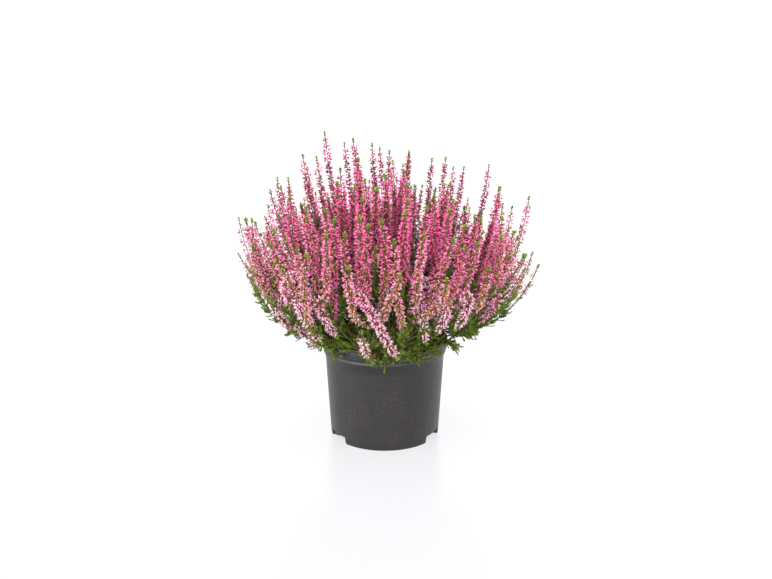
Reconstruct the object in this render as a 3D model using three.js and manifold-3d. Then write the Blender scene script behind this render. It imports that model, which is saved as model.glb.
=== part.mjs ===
// A flowering heather in its moulded nursery pot. Millimetres, +Z up, origin on the pot's axis at floor level.
// Bearings are degrees counterclockwise from +X, seen from above, so the plant's front faces -Y at 270.
import * as THREE from "three";
import { mergeVertices } from "three/addons/utils/BufferGeometryUtils.js";
import Module from "manifold-3d";

const seatGap = 0.3; // clearance between pieces that touch

// Pot
const rimDiameter = 120;
const potHeight = 94.7;
const wall = 1.2;
const baseRadius = 51.6; // outside of the wall at the floor
const shoulderRadius = 55.8; // outside of the wall under the shoulder
const shoulderLow = 79.5;
const bandLow = 86.5; // lower edge of the rim band
const stepHeight = 78; // faint moulded line below the shoulder
const stepDepth = 0.3;
const baseLift = 6; // the base plate stands this high on the feet
const footInner = 44.5;
const footDraft = 0.8;
const edgeBevel = 1;
const notchBearings = [212.6, 332.6, 92.6];
const notchWidth = 21;
const notchDraft = 1.2; // how much narrower a notch is at its top, each side
const drainRadius = 4;
const drainReach = 46.8;
const potSegments = 48;

// Compost
const fillHeight = 85.5; // at the wall
const fillCrown = 2; // rise towards the trunk

// Woody base
const trunkRadius = 4.6;
const trunkDepth = 18; // length below the compost's surface
const trunkTop = 93;
const limbCount = 9;
const limbRadius = 2.4;
const limbReach = 11;
const limbTop = 97;
const trunkLean = 0.5;
const trunkSides = 12;
const twigRadius = 1.5;
const twigElbow = 4; // a twig turns into line with its stem over this length
const twigSides = 5;

// Stems
const stemRadius = 1.3;
const spikeRadius = 4.4;
const tipRadius = 0.7;
const rootRadius = 7; // where a stem of no reach leaves its twig
const rootSpread = 0.21; // further out for each millimetre of reach
const rootHeight = 103;
const rootDrop = 0.05; // lower for each millimetre of reach
const widestReach = 140;
const innerBend = { reach: 0.6, rise: 0.42 }; // where a stem bends, as a share of its reach and of its rise
const outerBend = { reach: 0.88, rise: 0.1 };
const sway = 6;
const swayTurn = 2.4; // radians from one stem's sway to the next
const bareShare = 0.4; // of a stem's length, without flowers
const longestSpike = 115;
const greenTip = 7;
const leafyRadius = 2.2;
const stemSides = 6;
const ringSpacing = 19;

// Flowering stems by where their tips are: bearing, reach from the axis, height above the floor.
const crownTips = [
  [185, 54, 285], [222, 37, 279], [154, 42, 276], [216, 14, 275], [276, 38, 269], [345, 23, 267],
  [332, 47, 262], [340, 74, 255], [189, 74, 265], [218, 73, 264], [100, 28, 271], [62, 50, 268],
  [118, 62, 266], [22, 62, 262],
];
const middleTips = [
  [0, 95, 256], [206, 92, 246], [175, 100, 244], [249, 97, 256], [279, 97, 255], [296, 106, 244],
  [42, 92, 252], [78, 90, 254], [105, 98, 246], [146, 92, 252],
];
const outerTips = [
  [180, 135, 208], [195, 126, 211], [342, 106, 238], [355, 131, 228], [243, 130, 228], [231, 136, 210],
  [262, 132, 222], [284, 128, 229], [301, 133, 222], [316, 130, 228], [20, 134, 214], [48, 132, 218],
  [74, 135, 208], [98, 132, 216], [124, 136, 210], [152, 134, 214],
];
const lowTips = [
  [336, 138, 184], [349, 141, 168], [206, 131, 165], [111, 138, 170],
];
// Stems that arch over and hang: the bearing of the root, then where the arch bends and where the tip is.
const hangingStems = [
  { root: 275, arch: [247, 98, 186], tip: [278, 84, 98] },
  { root: 253, arch: [243, 82, 150], tip: [261, 82, 98] },
];
// Flowerless shoots that lean out over the rim.
const leafyShoots = [
  { root: 224, arch: [224, 60, 116], tip: [224, 68, 86] },
  { root: 269, arch: [268, 60, 114], tip: [267, 71, 86] },
  { root: 290, arch: [289, 60, 114], tip: [287, 73, 85] },
  { root: 309, arch: [309, 60, 114], tip: [310, 71, 87] },
  { root: 187, arch: [187, 66, 102], tip: [188, 92, 96] },
  { root: 212, arch: [212, 64, 104], tip: [209, 86, 92] },
  { root: 2, arch: [2, 66, 102], tip: [3, 94, 96] },
  { root: 329, arch: [329, 64, 108], tip: [327, 84, 90] },
  { root: 30, arch: [30, 64, 106], tip: [32, 82, 91] },
  { root: 79, arch: [79, 62, 107], tip: [81, 80, 89] },
  { root: 131, arch: [131, 62, 108], tip: [133, 80, 88] },
];

const wasm = await Module();
wasm.setup();

const materials = {
  plastic: new THREE.MeshStandardMaterial({ color: 0x454345, roughness: 0.55, metalness: 0 }),
  peat: new THREE.MeshStandardMaterial({ color: 0x2a1d14, roughness: 1, metalness: 0 }),
  bark: new THREE.MeshStandardMaterial({ color: 0x4d3524, roughness: 0.9, metalness: 0 }),
  flower: new THREE.MeshStandardMaterial({ color: 0xd4608f, roughness: 0.75, metalness: 0 }),
  paleFlower: new THREE.MeshStandardMaterial({ color: 0xecaac6, roughness: 0.75, metalness: 0 }),
  leaf: new THREE.MeshStandardMaterial({ color: 0x44602a, roughness: 0.7, metalness: 0 }),
};

const plant = new THREE.Group();

function addPiece(name, geometry, material) {
  const mesh = new THREE.Mesh(geometry, material);
  mesh.name = name;
  plant.add(mesh);
}

function polar(bearing, reach, height) {
  const angle = THREE.MathUtils.degToRad(bearing);
  return new THREE.Vector3(reach * Math.cos(angle), reach * Math.sin(angle), height);
}

// Joining and cutting

function toSolid(geometry) {
  const plain = geometry.index ? geometry.toNonIndexed() : geometry.clone();
  plain.deleteAttribute("normal");
  plain.deleteAttribute("uv");
  const merged = mergeVertices(plain, 1e-4);
  const mesh = new wasm.Mesh({
    numProp: 3,
    vertProperties: merged.attributes.position.array,
    triVerts: new Uint32Array(merged.index.array),
  });
  return new wasm.Manifold(mesh);
}

function toGeometry(solid) {
  const mesh = solid.getMesh();
  const geometry = new THREE.BufferGeometry();
  geometry.setAttribute("position", new THREE.BufferAttribute(mesh.vertProperties, 3));
  geometry.setIndex(new THREE.BufferAttribute(mesh.triVerts, 1));
  return geometry;
}

// A profile of [radius, height] pairs, turned about the vertical axis.
function turned(profile, segments) {
  const points = profile.map(([radius, height]) => new THREE.Vector2(radius, height));
  return new THREE.LatheGeometry(points, segments).rotateX(Math.PI / 2);
}

// A turned profile of [distance, radius] pairs, bent so that its axis follows a curve.
function bentRod(curve, profile, sides) {
  const length = curve.getLength();
  const rod = new THREE.LatheGeometry(profile.map(([along, radius]) => new THREE.Vector2(radius, along)), sides);
  const position = rod.attributes.position;
  const chord = curve.getPoint(1).sub(curve.getPoint(0));
  const across = new THREE.Vector3(-chord.y, chord.x, 0).normalize();
  for (let i = 0; i < position.count; i++) {
    const u = THREE.MathUtils.clamp(position.getY(i) / length, 0, 1);
    const tangent = curve.getTangentAt(u);
    const sideways = across.clone().addScaledVector(tangent, -across.dot(tangent)).normalize();
    const outward = sideways.clone().cross(tangent);
    const point = curve.getPointAt(u);
    point.addScaledVector(sideways, position.getX(i)).addScaledVector(outward, position.getZ(i));
    position.setXYZ(i, point.x, point.y, point.z);
  }
  return rod;
}

// Pot and compost

// Foot-ring notch as a tapered block, grown by a margin on every side that the cavity must stay clear of.
function notchBlock(bearing, margin) {
  const low = notchWidth / 2 + margin;
  const high = low - notchDraft;
  const top = baseLift + margin;
  const below = 1;
  const depth = 2 * (rimDiameter / 2 - footInner);
  const outline = new THREE.Shape([
    new THREE.Vector2(-low, -below),
    new THREE.Vector2(low, -below),
    new THREE.Vector2(high, top),
    new THREE.Vector2(-high, top),
  ]);
  const block = new THREE.ExtrudeGeometry(outline, { depth, bevelEnabled: false });
  block.rotateX(Math.PI / 2).rotateZ(Math.PI); // extruded outwards along +Y
  block.translate(0, footInner - below - margin, 0);
  return toSolid(block.rotateZ(THREE.MathUtils.degToRad(bearing - 90)));
}

function potOutside() {
  return toSolid(turned([
    [0, baseLift],
    [footInner, baseLift],
    [footInner + footDraft, 0],
    [baseRadius - edgeBevel, 0],
    [baseRadius, edgeBevel],
    [shoulderRadius - 1.3 * stepDepth, stepHeight - stepDepth],
    [shoulderRadius - 0.3 * stepDepth, stepHeight],
    [shoulderRadius, shoulderLow],
    [rimDiameter / 2 - edgeBevel, bandLow - edgeBevel],
    [rimDiameter / 2, bandLow],
    [rimDiameter / 2, potHeight - edgeBevel],
    [rimDiameter / 2 - edgeBevel, potHeight],
    [0, potHeight],
  ], potSegments));
}

// The space inside the pot, shrunk by an inset and closed at the top by the given points.
function potInside(inset, topPoints) {
  const skin = wall + inset;
  const cavity = toSolid(turned([
    [0, baseLift + skin],
    [footInner + skin, baseLift + skin],
    [footInner + footDraft + skin, skin],
    [baseRadius - skin, skin],
    [shoulderRadius - skin, shoulderLow + 1],
    ...topPoints,
  ], potSegments));
  return notchBearings.reduce((left, bearing) => left.subtract(notchBlock(bearing, skin)), cavity);
}

function drainHole(bearing) {
  const hole = new THREE.CylinderGeometry(drainRadius, drainRadius, baseLift, 16).rotateX(Math.PI / 2);
  const place = polar(bearing, drainReach, baseLift);
  return toSolid(hole.translate(place.x, place.y, place.z));
}

function makePot() {
  const mouth = [
    [rimDiameter / 2 - wall, bandLow + 1],
    [rimDiameter / 2 - wall, potHeight + 1],
    [0, potHeight + 1],
  ];
  let pot = potOutside().subtract(potInside(0, mouth));
  for (const bearing of notchBearings) {
    pot = pot.subtract(notchBlock(bearing, 0)).subtract(drainHole(bearing));
  }
  addPiece("pot", toGeometry(pot), materials.plastic);
}

function makeCompost() {
  const shoulderSlope = (fillHeight - shoulderLow - 1) / (bandLow - shoulderLow);
  const edge = shoulderRadius + (rimDiameter / 2 - shoulderRadius) * shoulderSlope - wall - seatGap;
  const surface = [
    [edge, fillHeight],
    [edge / 2, fillHeight + 0.8 * fillCrown],
    [0, fillHeight + fillCrown],
  ];
  const socket = new THREE.CylinderGeometry(
    trunkRadius + seatGap, trunkRadius + seatGap, 2 * (trunkDepth + seatGap), 16);
  socket.rotateX(Math.PI / 2).translate(0, 0, fillHeight + fillCrown);
  addPiece("compost", toGeometry(potInside(seatGap, surface).subtract(toSolid(socket))), materials.peat);
}

// Stems

// Where a stem leaves its twig.
function rootOf(bearing, reach) {
  return polar(bearing, rootRadius + rootSpread * reach, rootHeight - rootDrop * reach);
}

// Inner stems rise almost straight, outer ones run out low and then turn up. Each bows a little to one side.
function risingCurve([bearing, reach, height], index) {
  const root = rootOf(bearing, reach);
  const lean = reach / widestReach;
  const bend = polar(
    bearing,
    reach * THREE.MathUtils.lerp(innerBend.reach, outerBend.reach, lean),
    THREE.MathUtils.lerp(root.z, height, THREE.MathUtils.lerp(innerBend.rise, outerBend.rise, lean)),
  );
  bend.add(polar(bearing + 90, sway * Math.sin(swayTurn * index), 0));
  return new THREE.QuadraticBezierCurve3(root, bend, polar(bearing, reach, height));
}

function archingCurve({ root, arch, tip }) {
  return new THREE.QuadraticBezierCurve3(rootOf(root, widestReach), polar(...arch), polar(...tip));
}

// Radius along a flowering stem: bare below, then a spindle of flowers, then the green growing tip.
function spikeProfile(length) {
  const bare = Math.max(bareShare * length, length - longestSpike);
  const flowers = length - bare;
  return ringed([
    [0, stemRadius],
    [bare, stemRadius],
    [bare + 0.1 * flowers, 0.85 * spikeRadius],
    [bare + 0.4 * flowers, spikeRadius],
    [bare + 0.75 * flowers, 0.8 * spikeRadius],
    [length - greenTip - 2, 0.45 * spikeRadius],
    [length - greenTip, tipRadius],
    [length, tipRadius],
  ]);
}

function leafyProfile(length) {
  return ringed([
    [0, stemRadius],
    [0.3 * length, stemRadius],
    [0.45 * length, leafyRadius],
    [0.85 * length, leafyRadius],
    [length, tipRadius],
  ]);
}

// Adds rings between marks that are far apart, so that the rod can bend there, and closes both ends.
function ringed(marks) {
  const rings = [[0, 0], marks[0]];
  for (let i = 1; i < marks.length; i++) {
    const [from, fromRadius] = marks[i - 1];
    const [to, toRadius] = marks[i];
    const steps = Math.ceil((to - from) / ringSpacing);
    for (let k = 1; k <= steps; k++) {
      const t = k / steps;
      rings.push([THREE.MathUtils.lerp(from, to, t), THREE.MathUtils.lerp(fromRadius, toRadius, t)]);
    }
  }
  const length = marks[marks.length - 1][0];
  return [...rings, [length, 0]];
}

function addStems(prefix, curves, profile, material) {
  curves.forEach((curve, i) => {
    const name = `${prefix}_${String(i + 1).padStart(2, "0")}`;
    addPiece(name, bentRod(curve, profile(curve.getLength()), stemSides), material(i));
  });
}

// Woody base

// A plain rod along a curve that tapers from one radius to another.
function taperedRod(curve, startRadius, endRadius, sides) {
  const length = curve.getLength();
  const middle = (startRadius + endRadius) / 2;
  const profile = [[0, 0], [0, startRadius], [length / 2, middle], [length, endRadius], [length, 0]];
  return toSolid(bentRod(curve, profile, sides));
}

function trunk() {
  const foot = new THREE.Vector3(0, 0, fillHeight + fillCrown - trunkDepth);
  const top = new THREE.Vector3(trunkLean, 0, trunkTop);
  return taperedRod(new THREE.LineCurve3(foot, top), trunkRadius, 0.8 * trunkRadius, trunkSides);
}

function limb(fork) {
  const start = new THREE.Vector3(0, 0, trunkTop - limbRadius);
  const elbow = new THREE.Vector3(0.7 * fork.x, 0.7 * fork.y, trunkTop);
  return taperedRod(new THREE.QuadraticBezierCurve3(start, elbow, fork), limbRadius, 0.8 * limbRadius, stemSides);
}

// From the nearest fork to just short of the stem's root, in line with the stem.
function twig(forks, stem) {
  const root = stem.getPoint(0);
  const back = stem.getTangent(0).negate();
  const nearest = forks.reduce((best, fork) => (fork.distanceTo(root) < best.distanceTo(root) ? fork : best));
  const start = nearest.clone().setZ(limbTop - 1);
  const elbow = root.clone().addScaledVector(back, twigElbow);
  const end = root.clone().addScaledVector(back, seatGap);
  return taperedRod(new THREE.QuadraticBezierCurve3(start, elbow, end), twigRadius, stemRadius, twigSides);
}

// The trunk, its limbs, and one twig end for every stem, grown together.
function makeWoodyBase(stems) {
  const forks = Array.from({ length: limbCount }, (_, i) => polar((360 * i) / limbCount, limbReach, limbTop));
  const parts = [...forks.map(limb), ...stems.map((stem) => twig(forks, stem))];
  addPiece("woody_base", toGeometry(parts.reduce((wood, part) => wood.add(part), trunk())), materials.bark);
}

const risingStems = [...crownTips, ...middleTips, ...outerTips, ...lowTips].map(risingCurve);
const flowerStems = [...risingStems, ...hangingStems.map(archingCurve)];
const firstPale = risingStems.length - lowTips.length;
const shoots = leafyShoots.map(archingCurve);

makePot();
makeCompost();
makeWoodyBase([...flowerStems, ...shoots]);
addStems("flower_stem", flowerStems, spikeProfile, (i) => (i < firstPale ? materials.flower : materials.paleFlower));
addStems("leafy_shoot", shoots, leafyProfile, () => materials.leaf);

export default plant;
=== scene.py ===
import itertools
import math

import bpy
import numpy as np
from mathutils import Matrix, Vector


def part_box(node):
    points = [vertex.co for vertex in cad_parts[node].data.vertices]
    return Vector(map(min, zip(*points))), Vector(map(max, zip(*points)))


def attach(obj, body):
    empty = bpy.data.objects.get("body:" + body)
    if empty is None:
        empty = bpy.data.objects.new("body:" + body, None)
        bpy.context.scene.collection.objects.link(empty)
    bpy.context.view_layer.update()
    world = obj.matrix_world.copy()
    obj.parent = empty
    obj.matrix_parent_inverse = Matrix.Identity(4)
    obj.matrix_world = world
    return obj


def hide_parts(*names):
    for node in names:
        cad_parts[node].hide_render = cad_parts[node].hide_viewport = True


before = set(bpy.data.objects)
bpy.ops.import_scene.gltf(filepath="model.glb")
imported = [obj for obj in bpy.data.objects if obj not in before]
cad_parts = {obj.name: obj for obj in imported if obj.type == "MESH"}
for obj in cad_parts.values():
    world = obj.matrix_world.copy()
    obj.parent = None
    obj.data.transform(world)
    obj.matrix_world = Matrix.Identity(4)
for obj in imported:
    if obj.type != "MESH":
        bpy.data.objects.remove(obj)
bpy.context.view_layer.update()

# Everything below is in millimetres until a mesh is made. Bearings are degrees counterclockwise from +X,
# seen from above, so the plant's front faces -Y at 270.
mm = 0.001
flowerNodes = sorted(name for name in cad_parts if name.startswith("flower_stem"))
leafyNodes = sorted(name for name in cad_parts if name.startswith("leafy_shoot"))


# Camera and studio

cameraSetup = {
    "sensor": 36,
    "lens": 32.18,
    "place": (1.2, -638.2, 275.9),
    "lookDown": 12.03,  # degrees
}
studio = {
    "floorSize": 16000,
    "floorColour": (0.085, 0.085, 0.088),
    "floorGlow": (0.685, 0.685, 0.705),
    "backdrop": 1.8,  # brightness of the white room
    "shade": 0.2,  # brightness of the unlit part of the room, behind the camera
    "shadeToward": (0.26, -0.97, 0),
    "shadeFrom": (0.7, 0.92),  # how squarely a direction points that way
    "lamps": {
        "key": {"turn": (46, 0, -26), "spread": 120, "strength": 5.65},
        "top": {"turn": (-12, 0, 0), "spread": 100, "strength": 0.9},
        "leftGlow": {"turn": (74, 0, -68), "spread": 50, "strength": 1.2},
        "rightFill": {"turn": (60, 0, 36), "spread": 140, "strength": 4.0},
    },
}


def newObject(name, data):
    made = bpy.data.objects.new(name, data)
    bpy.context.scene.collection.objects.link(made)
    return made


def addCamera():
    data = bpy.data.cameras.new("camera")
    data.sensor_width = cameraSetup["sensor"]
    data.lens = cameraSetup["lens"]
    camera = newObject("camera", data)
    camera.location = [value * mm for value in cameraSetup["place"]]
    camera.rotation_euler = (math.radians(90 - cameraSetup["lookDown"]), 0, 0)
    bpy.context.scene.camera = camera


def addLamp(name, lamp):  # far away and wide, so that shadows stay soft
    data = bpy.data.lights.new(name, "SUN")
    data.energy = lamp["strength"]
    data.angle = math.radians(lamp["spread"])
    newObject(name, data).rotation_euler = [math.radians(value) for value in lamp["turn"]]


# Shader tools

class Socket:  # an output socket, so that sums and products of values read as arithmetic
    def __init__(self, shader, socket):
        self.shader = shader
        self.socket = socket

    def math(self, operation, first, second):
        return self.shader.add("ShaderNodeMath", {"operation": operation}, {0: first, 1: second})

    def __add__(self, other):
        return self.math("ADD", self, other)

    __radd__ = __add__

    def __sub__(self, other):
        return self.math("SUBTRACT", self, other)

    def __rsub__(self, other):
        return self.math("SUBTRACT", other, self)

    def __mul__(self, other):
        return self.math("MULTIPLY", self, other)

    __rmul__ = __mul__


class Shader:
    def __init__(self, owner):
        self.owner = owner
        owner.use_nodes = True
        self.tree = owner.node_tree
        self.tree.nodes.clear()

    # Settings go first, such as an operation or a ramp's stops, then the sockets' values or links.
    def add(self, kind, settings, values, output=0):
        node = self.tree.nodes.new(kind)
        for key, value in settings.items():
            if key == "stops":
                setStops(node.color_ramp, value)
            else:
                setattr(node, key, value)
        for key, value in values.items():
            if isinstance(value, Socket):
                self.tree.links.new(value.socket, node.inputs[key])
            else:
                node.inputs[key].default_value = value
        return Socket(self, node.outputs[output]) if node.outputs else None

    def mark(self, name):  # a value stored on the mesh's points
        return self.add("ShaderNodeAttribute", {"attribute_name": name}, {}, "Fac")

    def ramp(self, factor, stops):  # each stop is a position and a display colour
        return self.add("ShaderNodeValToRGB", {"stops": stops}, {"Fac": factor}, "Color")

    def mix(self, factor, first, second):
        return self.add("ShaderNodeMix", {"data_type": "RGBA"}, {0: factor, 6: first, 7: second}, 2)

    # Noise in the object's own space. Grain is the size of its features.
    def noise(self, grain, detail):
        place = self.add("ShaderNodeTexCoord", {}, {}, "Object")
        values = {"Vector": place, "Scale": 1 / (grain * mm), "Detail": detail}
        return self.add("ShaderNodeTexNoise", {}, values, "Fac")

    def bump(self, height, strength, depth):
        values = {"Strength": strength, "Distance": depth * mm, "Height": height}
        return self.add("ShaderNodeBump", {}, values)

    def remap(self, value, low, high):  # 0 at low, 1 at high
        values = {"Value": value, "From Min": low, "From Max": high}
        return self.add("ShaderNodeMapRange", {"clamp": True}, values)

    def finish(self, colour, roughness, more):
        values = {"Base Color": colour, "Roughness": roughness, **more}
        surface = self.add("ShaderNodeBsdfPrincipled", {}, values, "BSDF")
        self.add("ShaderNodeOutputMaterial", {}, {"Surface": surface})
        return self.owner


def newShader(name):
    return Shader(bpy.data.materials.new(name))


def setStops(colorRamp, stops):
    while len(colorRamp.elements) < len(stops):
        colorRamp.elements.new(1)
    for element, (position, *shade) in zip(colorRamp.elements, stops):
        element.position = position
        element.color = rgb(*shade)


def rgb(red, green, blue):  # a display colour, 0 to 255, as the linear colour that shaders use
    parts = [value / 255 for value in (red, green, blue)]
    return tuple(p / 12.92 if p <= 0.04045 else ((p + 0.055) / 1.055) ** 2.4 for p in parts) + (1,)


# Mesh tools

def unit(vectors):
    return vectors / np.linalg.norm(vectors, axis=-1, keepdims=True)


def lerp(first, second, share):
    return first + (second - first) * share


def polar(bearing, reach, height):
    angle = math.radians(bearing)
    return np.array([reach * math.cos(angle), reach * math.sin(angle), height])


class Pile:  # closed shapes gathered into one mesh, with values stored on their points
    def __init__(self, markNames):
        self.points = []
        self.faces = []
        self.marks = {name: [] for name in markNames}
        self.count = 0

    def add(self, points, faces, marks):
        self.points.append(points)
        self.faces.append(faces + self.count)
        for name, kept in self.marks.items():
            kept.append(np.broadcast_to(marks.get(name, 0.0), len(points)))
        self.count += len(points)

    def triangles(self):
        return sum(len(faces) * (faces.shape[1] - 2) for faces in self.faces)

    def make(self, name, material, node, smooth=True):
        mesh = bpy.data.meshes.new(name)
        corners = np.concatenate([faces.ravel() for faces in self.faces])
        sizes = np.concatenate([np.full(len(faces), faces.shape[1]) for faces in self.faces])
        mesh.vertices.add(self.count)
        mesh.vertices.foreach_set("co", (np.concatenate(self.points) * mm).astype(np.float32).ravel())
        mesh.loops.add(len(corners))
        mesh.loops.foreach_set("vertex_index", corners.astype(np.int32))
        mesh.polygons.add(len(sizes))
        mesh.polygons.foreach_set("loop_start", (np.cumsum(sizes) - sizes).astype(np.int32))
        mesh.polygons.foreach_set("use_smooth", np.full(len(sizes), smooth))
        for markName, values in self.marks.items():
            attribute = mesh.attributes.new(markName, "FLOAT", "POINT")
            attribute.data.foreach_set("value", np.concatenate(values).astype(np.float32))
        mesh.update(calc_edges=True)
        mesh.materials.append(material)
        piece = newObject(name, mesh)
        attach(piece, "root")
        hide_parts(node)
        return piece


# Copies one unit shape to many places. The shape points along +Z, its width is along +X.
def scatter(pile, shape, place, axis, side, length, width, marks):
    points, faces, along = shape
    across = np.cross(axis, side)
    spread = points[None, :, 0:1] * side[:, None] + points[None, :, 1:2] * across[:, None]
    placed = place[:, None] + width[:, None, None] * spread
    placed = placed + length[:, None, None] * points[None, :, 2:3] * axis[:, None]
    copies, corners = placed.shape[:2]
    allFaces = faces[None] + corners * np.arange(copies)[:, None, None]
    spreadMarks = {name: np.repeat(np.broadcast_to(value, copies), corners) for name, value in marks.items()}
    spreadMarks["along"] = np.tile(along, copies)
    pile.add(placed.reshape(-1, 3), allFaces.reshape(-1, faces.shape[1]), spreadMarks)


# A direction square to each line's chord, and square to its plane where the line bends.
def acrossOf(start, bend, end):
    chord = end - start
    least = np.eye(3)[np.argmin(np.abs(chord), axis=-1)]
    normal = np.cross(bend - start, end - bend) / np.sum(chord * chord, axis=-1, keepdims=True)
    return unit(normal + 0.02 * unit(np.cross(chord, least)))


# Directions square to the heading, at some turn round it from the across direction.
def around(heading, across, turn):
    side = unit(across - np.sum(across * heading, axis=-1, keepdims=True) * heading)
    other = np.cross(heading, side)
    return np.cos(turn)[..., None] * side + np.sin(turn)[..., None] * other


def curve(start, bend, end, t):
    return (1 - t) ** 2 * start + 2 * t * (1 - t) * bend + t ** 2 * end


def curves(start, bend, end, t):  # several at once, with a row of points for each
    return curve(start[:, None], bend[:, None], end[:, None], t[None, :, None])


# Faces between rings of points, each ring joined to the next.
def ringFaces(rings, columns):
    here = np.arange(columns)
    after = (here + 1) % columns
    one = np.stack([here, after, after + columns, here + columns], axis=1)
    return (one[None] + columns * np.arange(rings - 1)[:, None, None]).reshape(-1, 4)


# Closed tubes along lines of centres, all with the same number of rings.
def tubes(pile, centres, radii, across, sides, marks):
    count, rings = centres.shape[:2]
    tangent = unit(np.gradient(centres, axis=1))
    turn = 2 * np.pi * np.arange(sides) / sides
    ring = around(tangent[:, :, None], across[:, None, None], turn)
    points = centres[:, :, None] + radii[:, :, None, None] * ring
    walls = ringFaces(rings, sides)
    fan = np.arange(1, sides - 1)
    foot = np.stack([np.zeros_like(fan), fan + 1, fan], axis=1)
    tip = (rings - 1) * sides + foot[:, ::-1]
    faces = np.concatenate([walls[:, [0, 1, 2]], walls[:, [0, 2, 3]], foot, tip])
    allFaces = faces[None] + rings * sides * np.arange(count)[:, None, None]
    pile.add(points.reshape(-1, 3), allFaces.reshape(-1, 3), {
        name: np.repeat(np.broadcast_to(value, (count, rings)).ravel(), sides)
        for name, value in marks.items()
    })


class Path:  # a line from a root to a tip, walked by distance
    def __init__(self, points, wiggle=0.0, phase=0.0):
        middle = points[len(points) // 2]
        self.across = acrossOf(points[:1], middle[None], points[-1:])[0]
        t = np.linspace(0, 1, len(points))[:, None]
        swing = np.sin(np.pi * t) * np.sin(3 * np.pi * t + phase)
        self.points = points + wiggle * swing * self.across
        steps = np.linalg.norm(np.diff(self.points, axis=0), axis=1)
        self.marks = np.concatenate([[0], np.cumsum(steps)])
        self.length = self.marks[-1]

    def at(self, distance):
        return np.stack([np.interp(distance, self.marks, self.points[:, i]) for i in range(3)], axis=-1)

    def heading(self, distance):
        low = np.clip(np.asarray(distance) - 1, 0, self.length - 2)
        return unit(self.at(low + 2) - self.at(low))


linePoints = 49
alongLine = np.linspace(0, 1, linePoints)[:, None]
lineFit = {
    "rootSize": 2.9,  # the points this close to the lowest one are its foot
    "tipSize": 1.5,
    "rounds": 6,
    "steps": 80,
}


# A node's own curve: its two ends, and the bend that brings the curve closest to its surface.
def centreline(node):
    points = np.array([vertex.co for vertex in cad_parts[node].data.vertices]) / mm
    low = points[np.argmin(np.hypot(points[:, 0], points[:, 1]) + points[:, 2])]
    root = points[np.linalg.norm(points - low, axis=1) < lineFit["rootSize"]].mean(axis=0)
    far = points[np.argmax(np.linalg.norm(points - root, axis=1))]
    tip = points[np.linalg.norm(points - far, axis=1) < lineFit["tipSize"]].mean(axis=0)
    bend = (root + tip) / 2
    steps = lineFit["steps"]
    for _ in range(lineFit["rounds"]):
        line = curve(root, bend, tip, np.linspace(0, 1, steps + 1)[:, None])
        gaps = np.linalg.norm(points[:, None] - line[None], axis=2)
        t = (np.argmin(gaps, axis=1) / steps)[:, None]
        weight = 2 * t * (1 - t)
        rest = points - (1 - t) ** 2 * root - t ** 2 * tip
        bend = (weight * rest).sum(axis=0) / (weight ** 2).sum()
    return root, bend, tip


# Shapes of a closed bud and of scale leaves, one unit long and one wide

def budShape(pointedFoot):  # a three-sided spindle, or one cut off at its foot
    turn = 2 * np.pi / 3 * np.arange(3)
    ring = np.stack([0.5 * np.cos(turn), 0.5 * np.sin(turn), np.zeros(3)], axis=1)
    if pointedFoot:
        points = np.concatenate([[[0, 0, 0]], ring + [0, 0, 0.42], [[0, 0, 1]]])
        faces = np.array([[0, 2, 1], [0, 3, 2], [0, 1, 3], [1, 2, 4], [2, 3, 4], [3, 1, 4]])
    else:
        points = np.concatenate([ring, [[0, 0, 1]]])
        faces = np.array([[0, 2, 1], [0, 1, 3], [1, 2, 3], [2, 0, 3]])
    return points, faces, points[:, 2]


def leafShape():  # keeled on its outer side, as scale leaves are
    points = np.array([[0, 0, 0], [0.5, 0.1, 0.42], [-0.5, 0.1, 0.42], [0, -0.32, 0.45], [0, 0.05, 1]])
    faces = np.array([[0, 1, 3], [0, 3, 2], [0, 2, 1], [1, 4, 3], [3, 4, 2], [2, 4, 1]])
    return points, faces[:, ::-1], points[:, 2]


def thinLeafShape():  # folded along its middle
    points = np.array([[0, 0, 0], [0.5, 0.16, 0.42], [-0.5, 0.16, 0.42], [0, 0.04, 1]])
    faces = np.array([[0, 3, 1], [0, 2, 3]])
    return points, faces, points[:, 2]


bud = budShape(True)
plainBud = budShape(False)  # for those deeper inside the plant
leaf = leafShape()
thinLeaf = thinLeafShape()


# Materials

def petalMaterial():
    shader = newShader("petals")
    along = shader.mark("along")
    tint = shader.mark("tint")
    fresh = shader.ramp(along, [
        (0.0, 76, 28, 22), (0.3, 146, 10, 64), (0.5, 232, 52, 140), (1.0, 226, 152, 196),
    ])
    faded = shader.ramp(along, [
        (0.0, 120, 112, 60), (0.3, 196, 112, 124), (0.5, 230, 182, 200), (1.0, 238, 226, 232),
    ])
    dark = shader.ramp(along, [(0.0, 40, 18, 12), (0.35, 138, 10, 58), (1.0, 216, 50, 124)])
    streak = shader.noise(0.6, 2)
    colour = shader.mix(shader.mark("pale"), fresh, faded)
    colour = shader.mix(tint * 0.7, colour, dark)
    # Painted shade: the deeper a bud sits inside the plant's outline, the more it takes the dark ramp; this
    # also stands for the older flowers there
    colour = shader.mix(shader.mark("deep") * 0.45, colour, dark)
    colour = shader.mix(streak * 0.12, colour, faded)
    return shader.finish(colour, 0.6, {"Specular IOR Level": 0.25})


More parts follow.
